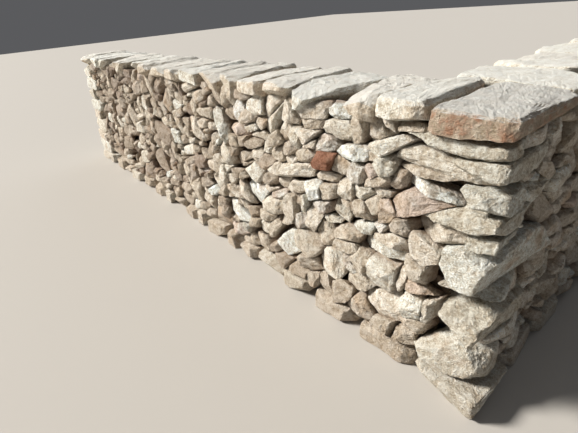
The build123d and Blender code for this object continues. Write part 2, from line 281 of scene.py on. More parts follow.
def block_of(cuts):
    """Corners and faces of the block that a stone's cuts leave, in its own measure."""
    cuts = np.vstack((cuts, block_limits))
    three = np.array(list(itertools.combinations(range(len(cuts)), 3)))
    systems = cuts[three]
    firm = np.abs(np.linalg.det(systems)) > parallel_limit
    three = three[firm]
    points = np.linalg.solve(systems[firm], np.ones((len(three), 3, 1)))[..., 0]
    kept = (points @ cuts.T < 1.0 + touch_limit).all(axis=1)
    three, points = three[kept], points[kept]
    near = np.abs(points[:, None] - points[None]).max(axis=-1) < corner_merge
    first = near.argmax(axis=1)
    for _ in range(merge_rounds):
        first = first[first]
    names, label = np.unique(first, return_inverse=True)
    corners = points[names]
    faces = []
    for k, cut in enumerate(cuts):
        members = np.unique(label[(three == k).any(axis=1)])
        if len(members) < 3:
            continue
        spread = corners[members] - corners[members].mean(axis=0)
        side = spread[0] - cut * (spread[0] @ cut) / (cut @ cut)
        other = np.cross(cut, side) / np.linalg.norm(cut)
        faces.append(members[np.argsort(np.arctan2(spread @ other, spread @ side))])
    return corners, faces


def cut_through(axes, centre, normal, point, least=least_cut_reach):
    """A flat cut in a stone's own measure, from its normal and a point on it."""
    reach = float(np.dot(normal, point - centre))
    own = axes.T @ normal
    return own / max(reach, least * np.linalg.norm(own))


def knocked_corners(rng, cuts, count, low, high, outward=None):
    """Random chips off the corners that the cuts leave."""
    cuts = list(cuts)
    for _ in range(count):
        way = rng.normal(size=3)
        if outward is not None and np.dot(way, outward) < 0:
            way = -way
        way /= np.linalg.norm(way)
        reach = 1.0 / max(float(np.dot(cut, way)) for cut in cuts)
        cuts.append(way / (reach * rng.uniform(low, high)))
    return cuts


def stone(centre, axes, cuts, rng, tone=None, sharpness=None):
    """One stone: its middle, its half axes as columns, its cuts and its own colour."""
    return {"centre": centre, "axes": axes, "cuts": np.array(cuts),
            "tone": float(stone_tone(rng) if tone is None else tone),
            "sharpness": float(rng.uniform(*edge_sharpness) if sharpness is None else sharpness),
            "tint": float(rng.random()), "stone_seed": float(rng.uniform(0.0, 50.0))}


def stone_tone(rng):
    """Where a stone falls in the palette."""
    kind = rng.random()
    if kind < buff_share:
        return np.clip(rng.normal(*buff_tone), *buff_range)
    return rng.uniform(*brown_range) if kind < buff_or_brown_share else red_tone


def shape_stones(name, stones, finish, steps, lump, grain):
    """Makes the stones' blocks as one mesh and weathers it with the Geometry Nodes tree."""
    corners, faces, owners, forward = [], [], [], []
    for number, s in enumerate(stones):
        own, sides = block_of(s["cuts"])
        faces += [tuple(int(k) + len(owners) for k in side) for side in sides]
        corners += [tuple(c) for c in s["centre"] + own @ s["axes"].T]
        forward += [float(c) for c in own[:, 2]]
        owners += [number] * len(own)
    blocks = bpy.data.meshes.new(name + "_blocks")
    blocks.from_pydata(corners, [], faces)
    store(blocks, "forward", forward)
    for label in ("stone_seed", "sharpness", "tone", "tint"):
        store(blocks, label, [stones[number][label] for number in owners])
    holder = bpy.data.objects.new(name + "_blocks", blocks)
    bpy.context.scene.collection.objects.link(holder)
    modifier = holder.modifiers.new("weathering", "NODES")
    modifier.node_group = stone_weathering
    values = {"Rounding Steps": steps, "Lump Size": lump[0], "Lump Height": lump[1],
              "Grain Size": grain[0], "Grain Height": grain[1],
              "Crease Angle": crease_angle, "Finish": finish}
    for item in stone_weathering.interface.items_tree:
        if item.in_out == "INPUT" and item.name in values:
            modifier[item.identifier] = values[item.name]
    graph = bpy.context.evaluated_depsgraph_get()
    mesh = bpy.data.meshes.new_from_object(holder.evaluated_get(graph))
    mesh.name = name
    mesh.attributes.remove(mesh.attributes["sharpness"])
    bpy.data.objects.remove(holder)
    piece = bpy.data.objects.new(name, mesh)
    bpy.context.scene.collection.objects.link(piece)
    return piece


def store(mesh, label, values):
    """Writes one number for each point of a mesh."""
    attribute = mesh.attributes.new(label, "FLOAT", "POINT")
    attribute.data.foreach_set("value", np.asarray(values, dtype=np.float32))


def solids_of(node):
    """The separate solids of a CAD node, each as its triangles' corners (n, 3, 3)."""
    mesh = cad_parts[node].data
    mesh.calc_loop_triangles()
    corners = np.empty(len(mesh.vertices) * 3)
    mesh.vertices.foreach_get("co", corners)
    corners = corners.reshape(-1, 3)
    triangles = np.array([t.vertices[:] for t in mesh.loop_triangles])
    _, shared = np.unique(np.round(corners, 5), axis=0, return_inverse=True)
    shared = shared.reshape(-1)
    group = np.arange(shared.max() + 1)
    joined = shared[triangles]
    changed = True
    while changed:
        low = group[joined].min(axis=1)
        before = group.copy()
        for column in range(3):
            np.minimum.at(group, joined[:, column], low)
        group = group[group]
        changed = not np.array_equal(before, group)
    label = group[joined[:, 0]]
    return [corners[triangles[label == k]] for k in np.unique(label)]


def stone_of_solid(solid, rng, chips, tone=None, sharpness=None, lost=(), swell=0.0):
    """A split stone that keeps the flat sides of its CAD solid, with more corners lost."""
    low, high = solid.reshape(-1, 3).min(0), solid.reshape(-1, 3).max(0)
    centre = (low + high) / 2
    axes = np.diag((high - low) / 2)
    cross = np.cross(solid[:, 1] - solid[:, 0], solid[:, 2] - solid[:, 0])
    area = np.linalg.norm(cross, axis=1)
    normals = cross / np.maximum(area, 1e-12)[:, None]
    reach = np.einsum("ij,ij->i", normals, solid[:, 0] - centre)
    keys = np.round(np.column_stack((normals * 20, reach * 300)))
    _, side = np.unique(keys, axis=0, return_inverse=True)
    side = side.reshape(-1)
    sides = []
    for k in np.unique(side):
        chosen = side == k
        sides.append((area[chosen].sum(), normals[chosen][0], reach[chosen][0]))
    sides.sort(key=lambda s: -s[0])
    cuts = [cut_through(axes, centre, normal, point) for normal, point in lost]
    for _, normal, distance in sides[:solid_sides]:
        cuts.append(cut_through(axes, centre, normal, centre + normal * (distance + swell)))
    cuts = knocked_corners(rng, cuts, *chips)
    return stone(centre, axes, cuts, rng, tone, sharpness)


def limestone(name, dust=0.0, brightness=1.0, joints=False, rust=0.0, depth=0.032):
    """Split limestone: a colour for each stone, stains, specks, earth low down and in joints."""
    finish = bpy.data.materials.new(name)
    finish.use_nodes = True
    tree = finish.node_tree
    shader = tree.nodes["Principled BSDF"]
    shader.inputs["Specular IOR Level"].default_value = stone_specular
    where = place(tree, "ShaderNodeTexCoord", {}, {}, "Object")

    def stored(label):
        return place(tree, "ShaderNodeAttribute", {"attribute_name": label}, {}, "Fac")

    tone, tint, seed = stored("tone"), stored("tint"), stored("stone_seed")

    def noise(scale, detail, roughness=0.55):
        return place(tree, "ShaderNodeTexNoise", {"noise_dimensions": "4D"},
                     {"Vector": where, "W": seed, "Scale": scale, "Detail": detail,
                      "Roughness": roughness})

    def mix(mask, below, above, blend="MIX"):
        # A colour Mix node's factor, A and B are its sockets 0, 6 and 7, and its result is 2.
        return place(tree, "ShaderNodeMix", {"data_type": "RGBA", "blend_type": blend},
                     {0: mask, 6: below, 7: above}, output=2)

    broad, middle = noise(patch_scale, 4.0), noise(grain_scale, 9.0, 0.66)
    fine = noise(speck_scale, 6.0, 0.70)
    colour = place(tree, "ShaderNodeValToRGB", {"stops": palette},
                   {0: tone + (broad - 0.5) * 0.16})
    stained = broad.ramp(0.52, 0.68) * tint.ramp(0.25, 0.9) * stain_strength
    colour = mix(stained, colour, stain_colour)
    if rust:
        rusty = middle.ramp(0.40, 0.60) * noise(rust_scale, 5.0).ramp(0.42, 0.54) * rust
        colour = mix(rusty, colour, rust_colour)
    cracks = place(tree, "ShaderNodeTexVoronoi", {"voronoi_dimensions": "4D"},
                   {"Vector": where, "W": seed, "Scale": crack_scale})
    pits = (1.0 - cracks.ramp(0.05, 0.30)) * noise(pit_scale, 2.0).ramp(0.48, 0.62)
    shade = middle.ramp(0.34, 0.58) * 0.54 + fine.ramp(0.34, 0.60) * 0.36 + 0.56
    shade = shade * (1.0 - pits * pit_darkness) * (tint * 0.22 + 0.89) * brightness
    warm = place(tree, "ShaderNodeCombineXYZ", {}, {0: shade, 1: shade ** 1.22, 2: shade ** 1.5})
    colour = mix(1.0, colour, warm, "MULTIPLY")
    height = place(tree, "ShaderNodeSeparateXYZ", {}, {0: where}, "Z")
    low = (1.0 - height.ramp(*earth_heights)) * (middle.ramp(0.25, 0.65) * 0.5 + 0.2)
    colour = mix(low * earth_strength, colour, earth_colour)
    if joints:
        inside = (1.0 - stored("forward").ramp(-0.3, 0.60)) * joint_strength
        colour = mix(inside, colour, joint_colour)
    if dust:
        facing = place(tree, "ShaderNodeNewGeometry", {}, {}, "Normal")
        facing_up = place(tree, "ShaderNodeSeparateXYZ", {}, {0: facing}, "Z")
        settled = facing_up.ramp(0.55, 0.9) * (middle.ramp(0.2, 0.6) * 0.5 + 0.5) * dust
        colour = mix(settled, colour, dust_colour)
    tree.links.new(colour.socket, shader.inputs["Base Color"])
    rough = fine * 0.2 + 0.78
    tree.links.new(rough.socket, shader.inputs["Roughness"])
    breaks = place(tree, "ShaderNodeTexVoronoi", {"voronoi_dimensions": "4D"},
                   {"Vector": where, "W": seed, "Scale": break_scale, "Randomness": 1.0})
    relief = middle * 0.9 + breaks * 0.12 + fine * 0.55 - pits * 0.4
    bump = place(tree, "ShaderNodeBump", {}, {"Strength": 1.0, "Distance": depth,
                                              "Height": relief})
    tree.links.new(bump.socket, shader.inputs["Normal"])
    return finish


footing_finish = limestone("footing_limestone", brightness=0.95)

rng = np.random.default_rng(footing_seed)
for node in footing_nodes:
    tones = corner_footing_tones if node.startswith("corner") else footing_tones
    stones = [stone_of_solid(solid, rng, footing_chips, rng.uniform(*tones))
              for solid in solids_of(node)]
    piece = shape_stones(node + "_stones", stones, footing_finish,
                         steps=2 if node.endswith("inner") else 3, **footing_roughness)
    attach(piece, "root")
    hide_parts(node)


# Hearting: small broken stone and earth packed between the two faces. It only shows as
# darkness behind the open joints.
hearting_colour = (0.18, 0.125, 0.085, 1.0)
hearting_speck_colour = (0.34, 0.25, 0.17, 1.0)
hearting_speck_scale = 40.0

hearting_finish = bpy.data.materials.new("hearting_earth")
hearting_finish.use_nodes = True
hearting_tree = hearting_finish.node_tree
hearting_shader = hearting_tree.nodes["Principled BSDF"]
hearting_shader.inputs["Roughness"].default_value = 0.95
hearting_where = place(hearting_tree, "ShaderNodeTexCoord", {}, {}, "Object")
hearting_specks = place(hearting_tree, "ShaderNodeTexNoise", {},
                        {"Vector": hearting_where, "Scale": hearting_speck_scale, "Detail": 5.0})
hearting_mix = place(hearting_tree, "ShaderNodeMix", {"data_type": "RGBA"},
                     {0: hearting_specks, 6: hearting_colour, 7: hearting_speck_colour}, output=2)
hearting_tree.links.new(hearting_mix.socket, hearting_shader.inputs["Base Color"])
for node in ("long_hearting", "return_hearting"):
    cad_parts[node].data.materials.clear()
    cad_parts[node].data.materials.append(hearting_finish)


# Corner quoins: the largest stones, laid long and short by turns so that they tie both wings
# together. Split to flat beds, with their tails broken off aslant, and worn round at the arris.
outer_batter = 0.090
wall_height = 1.300
quoin_nodes = sorted(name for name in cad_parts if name.startswith("corner_quoin_"))
quoin_seed = 8
quoin_chips = (9, 0.86, 0.98)
quoin_roughness = {"lump": (0.080, 0.015), "grain": (0.022, 0.006)}
quoin_middle = -0.12
quoin_break_lean = 0.15
# Each quoin's tone and edge sharpness, and its broken tail: the two points on the long outer
# face, along and up it, that each flat break runs through.
quoin_looks = {
    "corner_quoin_01": (0.72, 0.50, [((-0.345, 0.170), (-0.250, 0.310))]),
    "corner_quoin_02": (0.70, 0.56, [((-0.250, 0.385), (-0.110, 0.296))]),
    "corner_quoin_03": (0.76, 0.50, [((-0.322, 0.500), (-0.235, 0.592)),
                                     ((-0.320, 0.495), (-0.200, 0.470))]),
    "corner_quoin_04": (0.76, 0.56, [((-0.282, 0.690), (-0.185, 0.575)),
                                     ((-0.275, 0.735), (-0.150, 0.790))]),
    "corner_quoin_05": (0.78, 0.56, [((-0.215, 0.815), (-0.140, 0.762)),
                                     ((-0.205, 0.820), (-0.110, 0.860))]),
    "corner_quoin_06": (0.72, 0.48, [((-0.385, 0.875), (-0.300, 0.938))]),
    "corner_quoin_07": (0.78, 0.56, [((-0.222, 1.000), (-0.090, 0.905))]),
    "corner_quoin_08": (0.73, 0.34, [((-0.322, 1.075), (-0.250, 1.020)),
                                    ((-0.318, 1.090), (-0.230, 1.148))]),
    "corner_quoin_09": (0.74, 0.50, [((-0.530, 1.175), (-0.430, 1.130))]),
}


def face_frame(origin, along, up_slope):
    """A face's origin, and its along, up and outward directions as columns."""
    along = np.array(along, float)
    up_slope = np.array(up_slope, float) / np.linalg.norm(up_slope)
    return np.array(origin, float), np.column_stack((along, up_slope, np.cross(along, up_slope)))


def lost_corner(face, ends, kept, lean):
    """A flat break through two points of a face, as its outward normal and a point on it."""
    origin, basis = face
    one, two = (np.array((*end, 0.0)) for end in ends)
    normal = np.array((two[1] - one[1], one[0] - two[0], 0.0))
    normal /= np.linalg.norm(normal)
    if np.dot(normal[:2], np.array(kept) - one[:2]) > 0:
        normal = -normal
    normal[2] = lean
    return basis @ (normal / np.linalg.norm(normal)), origin + basis @ one


long_outer = face_frame((0, 0, 0), (1, 0, 0), (0, outer_batter, wall_height))
quoin_finish = limestone("quoin_limestone", brightness=0.86)
corner_stones = []

rng = np.random.default_rng(quoin_seed)
for node in quoin_nodes:
    tone, sharpness, breaks = quoin_looks[node]
    low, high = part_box(node)
    middle = (quoin_middle, (low.z + high.z) / 2)
    lost = [lost_corner(long_outer, ends, middle, rng.normal(0.0, quoin_break_lean))
            for ends in breaks]
    stones = [stone_of_solid(solid, rng, quoin_chips, tone, sharpness, lost)
              for solid in solids_of(node)]
    corner_stones += stones
    piece = shape_stones(node + "_stone", stones, quoin_finish, steps=4, **quoin_roughness)
    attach(piece, "root")
    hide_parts(node)


# End heads: paired stones at the far end of each wing, long and short by turns, of the same
# split limestone as the quoins.
head_tones = (0.40, 0.78)
head_seed = 31
head_chips = (7, 0.84, 0.97)
head_roughness = {"lump": (0.09, 0.008), "grain": (0.024, 0.002)}
head_finish = limestone("head_limestone", brightness=0.92)
head_stones = {"long": [], "return": []}

rng = np.random.default_rng(head_seed)
for wing in head_stones:
    for kind in ("long", "short"):
        node = f"{wing}_head_{kind}_stones"
        stones = [stone_of_solid(solid, rng, head_chips, rng.uniform(*head_tones))
                  for solid in solids_of(node)]
        head_stones[wing] += stones
        piece = shape_stones(node + "_split", stones, head_finish, steps=3, **head_roughness)
        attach(piece, "root")
        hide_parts(node)


# Rubble of the outer and inner faces: hand-sized limestone fitted dry, each stone against its
# neighbours, with open joints. Uneven in size and tilt, proud or set back by a finger's width.
rubble_length = 0.155
rubble_height = 0.085
rubble_size_spread = 0.38
rubble_length_range = (0.85, 1.20)
rubble_height_range = (0.75, 1.15)
rubble_depth = 0.13
rubble_depth_to_length = 2.2
rubble_gap = (0.0, 0.006)
rubble_proud = (-0.032, 0.016)
rubble_chips = (3, 0.84, 0.97)
rubble_least_cut_reach = 0.35
rubble_roughness = {"lump": (0.045, 0.011), "grain": (0.016, 0.005)}
rubble_over_cope_bed = 0.040
level_share = 0.72
level_tilt = (0.10, 0.26)
steepest_turn = 1.57
joint_lean = 0.26
joint_inset = 0.03
most_joints = 10
fewest_joint_steps = 3
fewest_facets = 2
facet_wander = 0.4
# Painted shade: a rubble stone's tone falls by this much for each metre it lies from the corner,
# so each face grows darker and browner away from it.
painted_shade_per_metre = 0.065
# Broken facets on a stone's front: direction from the first, slope, and how far out it starts.
front_facets = [
    (0.0, (0.08, 0.45), (-0.20, 0.10)),
    (math.pi, (0.15, 0.60), (-0.10, 0.50)),
    (0.5 * math.pi, (0.25, 0.80), (0.40, 0.85)),
    (1.5 * math.pi, (0.25, 0.80), (0.40, 0.85)),
    (0.25 * math.pi, (0.40, 1.10), (0.55, 0.90)),
]

# The stones of a face are first laid out as cells on a fine grid. Each grid point belongs to
# the stone that is nearest in that stone's own measure, and the stones settle to their cells.
grid_pitch = 0.006
settle_steps = 9
settle_share = 0.8
least_cell = 0.0003
least_half = 0.009
cell_power = 2.8
cell_reach = 2.8
known_reach = 1.6
border = 4
inner_batter = 0.040
base_thickness = 0.640
quoin_least_leg = 0.130
stint_slack = 0.02
face_seeds = {"long_outer_face": 2, "return_outer_face": 22, "long_inner_face": 23,
              "return_inner_face": 24}

# Stones near the corner as they lie in the wall: place along the face, place up it, half
# length, half height, turn in degrees, tone.
stones_by_corner = [
    (-0.470, 1.210, 0.072, 0.032, 8, 0.38), (-0.585, 1.215, 0.058, 0.045, 88, 0.42),
    (-0.665, 1.150, 0.062, 0.045, 15, 0.38), (-0.765, 1.115, 0.065, 0.030, 85, 0.40),
    (-0.595, 1.105, 0.105, 0.033, 15, 0.68), (-0.425, 1.088, 0.125, 0.048, -3, 0.62),
    (-0.420, 1.026, 0.085, 0.022, -4, 0.44), (-0.780, 1.035, 0.085, 0.042, 10, 0.76),
    (-0.605, 1.010, 0.058, 0.046, 60, 0.70), (-0.670, 1.035, 0.030, 0.026, 40, 0.50),
    (-0.665, 0.965, 0.036, 0.028, 30, 0.86), (-0.520, 0.955, 0.066, 0.030, 55, 0.22),
    (-0.755, 0.945, 0.066, 0.052, -20, 0.84), (-0.630, 0.930, 0.065, 0.028, 20, 0.52),
    (-0.405, 0.975, 0.098, 0.030, -2, 0.78), (-0.270, 0.985, 0.052, 0.022, 0, 0.56),
    (-0.455, 0.875, 0.098, 0.055, 25, 0.87), (-0.710, 0.850, 0.076, 0.036, 10, 0.70),
    (-0.635, 0.800, 0.048, 0.046, -30, 0.40), (-0.565, 0.800, 0.058, 0.048, 70, 0.91),
    (-0.590, 0.880, 0.040, 0.020, 5, 0.50), (-0.315, 0.800, 0.105, 0.050, 8, 0.46),
    (-0.475, 0.745, 0.055, 0.038, 15, 0.28), (-0.820, 0.820, 0.050, 0.052, 0, 0.60),
    (-0.800, 0.740, 0.052, 0.030, -10, 0.30), (-0.710, 0.745, 0.062, 0.040, -8, 0.36),
    (-0.855, 0.695, 0.052, 0.060, 70, 0.66), (-0.705, 0.665, 0.066, 0.040, 14, 0.79),
    (-0.580, 0.700, 0.052, 0.022, 25, 0.83), (-0.520, 0.660, 0.090, 0.035, 8, 0.52),
    (-0.365, 0.680, 0.088, 0.054, -55, 0.46), (-0.545, 0.575, 0.152, 0.045, -2, 0.72),
    (-0.365, 0.560, 0.076, 0.056, -48, 0.48), (-0.560, 0.445, 0.083, 0.068, 82, 0.66),
    (-0.450, 0.470, 0.075, 0.024, 85, 0.50), (-0.370, 0.360, 0.086, 0.052, 80, 0.68),
    (-0.290, 0.370, 0.074, 0.032, 85, 0.62), (-0.700, 0.455, 0.062, 0.055, 30, 0.56),
    (-0.800, 0.510, 0.060, 0.030, 15, 0.50), (-0.790, 0.450, 0.040, 0.026, 0, 0.26),
    (-0.785, 0.590, 0.078, 0.040, 10, 0.38), (-0.690, 0.330, 0.122, 0.045, 25, 0.58),
    (-0.800, 0.370, 0.076, 0.036, 15, 0.84), (-0.530, 0.270, 0.100, 0.062, 22, 0.54),
    (-0.350, 0.250, 0.048, 0.045, 0, 0.44), (-0.800, 0.220, 0.080, 0.050, 40, 0.36),
    (-0.680, 0.170, 0.064, 0.058, 20, 0.30), (-0.510, 0.140, 0.060, 0.056, 80, 0.46),
    (-0.385, 0.140, 0.070, 0.052, 40, 0.40), (-1.070, 1.190, 0.095, 0.058, 20, 0.50),
    (-0.910, 1.205, 0.060, 0.042, 0, 0.78), (-0.890, 1.120, 0.096, 0.048, -3, 0.64),
    (-0.965, 1.045, 0.086, 0.045, 25, 0.83), (-0.985, 0.945, 0.072, 0.050, 15, 1.00),
    (-1.070, 1.130, 0.084, 0.028, 5, 0.34), (-1.100, 1.065, 0.082, 0.030, 20, 0.50),
    (-1.205, 1.040, 0.056, 0.044, 70, 0.66), (-1.300, 1.050, 0.056, 0.048, 80, 0.52),
    (-1.230, 1.140, 0.076, 0.036, 5, 0.46), (-1.060, 1.010, 0.052, 0.024, 40, 0.50),
    (-1.120, 0.940, 0.080, 0.034, 20, 0.55), (-1.260, 0.955, 0.060, 0.038, 30, 0.24),
    (-1.210, 0.835, 0.165, 0.044, 14, 0.58), (-1.250, 0.890, 0.070, 0.024, 20, 0.55),
    (-0.970, 0.860, 0.086, 0.030, 8, 0.46), (-0.880, 0.935, 0.062, 0.040, 38, 0.38),
    (-0.940, 0.785, 0.056, 0.034, 25, 0.42), (-1.060, 0.755, 0.056, 0.050, 0, 0.76),
    (-1.200, 0.735, 0.086, 0.034, 8, 0.56), (-0.980, 0.685, 0.056, 0.030, 5, 0.84),
    (-1.330, 0.725, 0.062, 0.034, 38, 0.30), (-1.490, 0.930, 0.052, 0.044, 10, 0.66),
    (-1.380, 0.885, 0.056, 0.044, 0, 0.50), (-1.600, 0.855, 0.066, 0.050, 30, 0.46),
    (-1.420, 0.800, 0.080, 0.030, 22, 0.48), (-1.420, 1.070, 0.100, 0.036, 35, 0.68),
    (-1.580, 1.150, 0.084, 0.040, 10, 0.64), (-1.450, 1.175, 0.062, 0.034, 10, 0.58),
    (-1.530, 1.060, 0.062, 0.030, 10, 0.34), (-1.570, 0.970, 0.108, 0.030, 8, 0.40),
    (-1.375, 0.980, 0.060, 0.038, 45, 0.46), (-1.490, 0.705, 0.090, 0.038, 12, 0.28),
    (-1.370, 0.640, 0.088, 0.034, 40, 0.86), (-1.440, 0.530, 0.118, 0.052, 20, 0.58),
    (-1.260, 0.590, 0.084, 0.054, 72, 0.52), (-1.150, 0.540, 0.064, 0.040, 45, 0.84),
    (-1.050, 0.575, 0.082, 0.044, 66, 0.46), (-1.120, 0.650, 0.056, 0.020, 82, 0.70),
    (-0.970, 0.530, 0.064, 0.056, 10, 0.42), (-0.900, 0.620, 0.050, 0.036, 10, 0.68),
    (-1.100, 0.400, 0.084, 0.070, 30, 0.57), (-1.320, 0.325, 0.120, 0.088, 40, 0.77),
    (-0.900, 0.340, 0.108, 0.074, 25, 0.62), (-1.100, 0.245, 0.096, 0.044, 18, 0.32),
    (-1.560, 0.310, 0.062, 0.055, 70, 0.62), (-1.460, 0.350, 0.090, 0.030, 52, 0.42),
    (-1.500, 0.195, 0.098, 0.040, 15, 0.28), (-1.050, 0.150, 0.066, 0.050, 40, 0.36),
    (-0.950, 0.180, 0.058, 0.055, 0, 0.34), (-1.370, 0.165, 0.090, 0.036, 10, 0.24),
    (-1.190, 0.140, 0.090, 0.050, 20, 0.30), (-1.340, 0.455, 0.078, 0.035, 30, 0.50),
    (-1.530, 0.430, 0.090, 0.035, 15, 0.52), (-1.610, 0.570, 0.078, 0.058, 50, 0.82),
]


def box_stone(node):
    """A CAD node's box as a plain stone, which only keeps rubble out of its place."""
    low, high = (np.array(corner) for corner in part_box(node))
    return {"centre": (low + high) / 2, "axes": np.diag((high - low) / 2),
            "cuts": [*np.eye(3), *-np.eye(3)]}


def lay_rubble(rng, face, u_span, v_span, laid, known=()):
    """Fits uneven stones over a face round the stones already laid; gives their cells."""
    us = np.arange(u_span[0] + grid_pitch / 2, u_span[1], grid_pitch)
    vs = np.arange(v_span[0] + grid_pitch / 2, v_span[1], grid_pitch)
    blocked = covered_by(face, us, vs, laid)
    free = blocked < 0
    known = np.array([k for k in known if u_span[0] < k[0] < u_span[1]]).reshape(-1, 6)
    known_area = math.pi * float((known[:, 2] * known[:, 3]).sum())
    count = int((free.sum() * grid_pitch ** 2 - known_area) / (rubble_length * rubble_height))
    size = np.exp(rng.normal(0.0, rubble_size_spread, count))
    half_a = 0.5 * rubble_length * size * rng.uniform(*rubble_length_range, count)
    half_b = 0.5 * rubble_height * size * rng.uniform(*rubble_height_range, count)
    level = rng.random(count) < level_share
    turn = np.where(level, rng.normal(*level_tilt, count),
                    rng.uniform(-steepest_turn, steepest_turn, count))
    tone = np.array([stone_tone(rng) for _ in range(count)])
    known_turn = np.radians(known[:, 4])
    taken = cell_owners(us, vs, *known[:, :4].T, known_turn, within=known_reach) >= 0
    rows, columns = np.nonzero(free & ~taken)
    pick = rng.choice(len(rows), count, replace=False)
    cu, cv = us[columns[pick]], vs[rows[pick]]
    fixed = len(known)
    cu, cv = np.concatenate((known[:, 0], cu)), np.concatenate((known[:, 1], cv))
    half_a, half_b = np.concatenate((known[:, 2], half_a)), np.concatenate((known[:, 3], half_b))
    turn = np.concatenate((known_turn, turn))
    # Painted shade: the new stones' tones fall off with their distance from the corner.
    tone = np.concatenate((known[:, 5], tone - painted_shade_per_metre * np.abs(cu[fixed:])))
    count += fixed
    for _ in range(settle_steps):
        owner = cell_owners(us, vs, cu, cv, half_a, half_b, turn)
        owner[~free] = -1
        held = owner >= 0
        tally = np.bincount(owner[held], minlength=count)
        grid_v, grid_u = np.nonzero(held)
        mean_u = np.bincount(owner[held], us[grid_u], count) / np.maximum(tally, 1)
        mean_v = np.bincount(owner[held], vs[grid_v], count) / np.maximum(tally, 1)
        loose = tally > 0
        loose[:fixed] = False
        cu[loose] += settle_share * (mean_u - cu)[loose]
        cv[loose] += settle_share * (mean_v - cv)[loose]
    owner = cell_owners(us, vs, cu, cv, half_a, half_b, turn)
    owner[~free] = -1
    part = connected_parts(owner)
    names, part = np.unique(np.where(owner < 0, -1, part), return_inverse=True)
    part = part.reshape(owner.shape) - (names[0] < 0)
    tone = tone[owner.ravel()[names[names >= 0]]]
    first = border + len(laid)
    owner = np.where(free, np.where(part < 0, 0, part + first), blocked + border)
    # The four borders of the grid stand for what bounds the face there.
    owner = np.pad(owner, 1)
    owner[0, :], owner[-1, :], owner[:, 0], owner[:, -1] = 0, 1, 2, 3
    us = np.concatenate(([us[0] - grid_pitch], us, [us[-1] + grid_pitch]))
    vs = np.concatenate(([vs[0] - grid_pitch], vs, [vs[-1] + grid_pitch]))
    return cells_of(owner, us, vs, first, tone)


def covered_by(face, us, vs, laid):
    """Which of the stones already laid stands at each point of a face's grid, or -1."""
    origin, basis = face
    grid_u, grid_v = np.meshgrid(us, vs)
    behind = np.full_like(grid_u, -joint_inset)
    points = np.stack((grid_u, grid_v, behind), -1) @ basis.T + origin
    blocked = np.full(grid_u.shape, -1)
    for number, s in enumerate(laid):
        own = (points - s["centre"]) @ np.linalg.inv(s["axes"]).T
        farthest = np.max(own @ np.array(s["cuts"]).T, axis=-1)
        blocked[farthest < 1.0] = number
    return blocked


def connected_parts(owner):
    """Gives each connected part of each stone's cell a number of its own."""
    part = np.arange(owner.size).reshape(owner.shape)
    spreading = True
    while spreading:
        before = part.copy()
        for axis in (0, 1):
            one = [slice(None), slice(None)]
            two = [slice(None), slice(None)]
            one[axis], two[axis] = slice(None, -1), slice(1, None)
            one, two = tuple(one), tuple(two)
            same = owner[one] == owner[two]
            part[one] = np.where(same, np.minimum(part[one], part[two]), part[one])
            part[two] = np.where(same, np.minimum(part[one], part[two]), part[two])
        spreading = not np.array_equal(before, part)
    return part


def cell_owners(us, vs, cu, cv, half_a, half_b, turn, within=np.inf):
    """Which stone is nearest to each grid point, in that stone's own measure."""
    best = np.full((len(vs), len(us)), within ** cell_power)
    owner = np.full((len(vs), len(us)), -1)
    turn_c, turn_s = np.cos(turn), np.sin(turn)
    for k in range(len(cu)):
        reach = cell_reach * max(half_a[k], half_b[k])
        i0, i1 = np.searchsorted(vs, (cv[k] - reach, cv[k] + reach))
        j0, j1 = np.searchsorted(us, (cu[k] - reach, cu[k] + reach))
        du = us[j0:j1] - cu[k]
        dv = (vs[i0:i1] - cv[k])[:, None]
        along = np.abs(turn_c[k] * du + turn_s[k] * dv) / half_a[k]
        across = np.abs(turn_c[k] * dv - turn_s[k] * du) / half_b[k]
        far = along ** cell_power + across ** cell_power
        window = best[i0:i1, j0:j1]
        nearer = far < window
        window[nearer] = far[nearer]
        owner[i0:i1, j0:j1][nearer] = k
    return owner


def cells_of(owner, us, vs, first, tone):
    """Middle and axes of each cell, from the grid of owners, with its joints."""
    count = len(tone)
    rows, columns = np.nonzero(owner >= first)
    held = owner[rows, columns] - first
    u, v = us[columns], vs[rows]
    tally = np.maximum(np.bincount(held, minlength=count), 1)
    mean_u = np.bincount(held, u, count) / tally
    mean_v = np.bincount(held, v, count) / tally
    du, dv = u - mean_u[held], v - mean_v[held]
    uu = np.bincount(held, du * du, count) / tally
    vv = np.bincount(held, dv * dv, count) / tally
    uv = np.bincount(held, du * dv, count) / tally
    turn = 0.5 * np.arctan2(2 * uv, uu - vv)
    swell = np.sqrt(np.maximum((uu - vv) ** 2 / 4 + uv ** 2, 0))
    long_half = 2 * np.sqrt(np.maximum((uu + vv) / 2 + swell, 1e-6))
    short_half = 2 * np.sqrt(np.maximum((uu + vv) / 2 - swell, 1e-6))
    cells = [{"u": mean_u[k], "v": mean_v[k], "turn": turn[k], "a": long_half[k],
              "b": short_half[k], "joints": [], "tone": tone[k],
              "area": tally[k] * grid_pitch ** 2} for k in range(count)]
    add_joints(cells, owner, us, vs, first)
    return [cell for cell in cells if cell["area"] > least_cell and cell["b"] > least_half]


